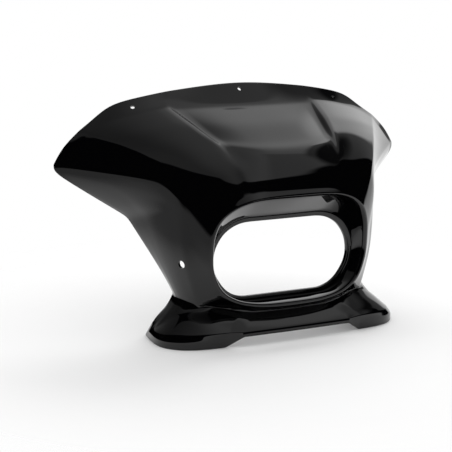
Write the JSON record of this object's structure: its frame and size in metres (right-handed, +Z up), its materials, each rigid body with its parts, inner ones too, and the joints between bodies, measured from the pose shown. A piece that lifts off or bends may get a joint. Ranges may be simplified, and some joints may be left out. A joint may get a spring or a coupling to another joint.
{
  "type": "motorcycle headlight fairing",
  "caption": "One-piece moulded front fairing with a tunnelled slot-shaped headlight opening, recessed hood, swept wings and a flared chin.",
  "frame": {"origin": "centre of the overall box, on the level of the lowest edge of the chin", "axes": "-Y is forward on the motorcycle, +X runs across it, +Z is up"},
  "size_m": [0.6312, 0.2357, 0.3867],
  "materials": {
    "gloss_black": "high gloss black moulded plastic, smooth and plain behind"
  },
  "bodies": {
    "root": {"fairing_shell": "gloss_black"}
  },
  "joints": []
}
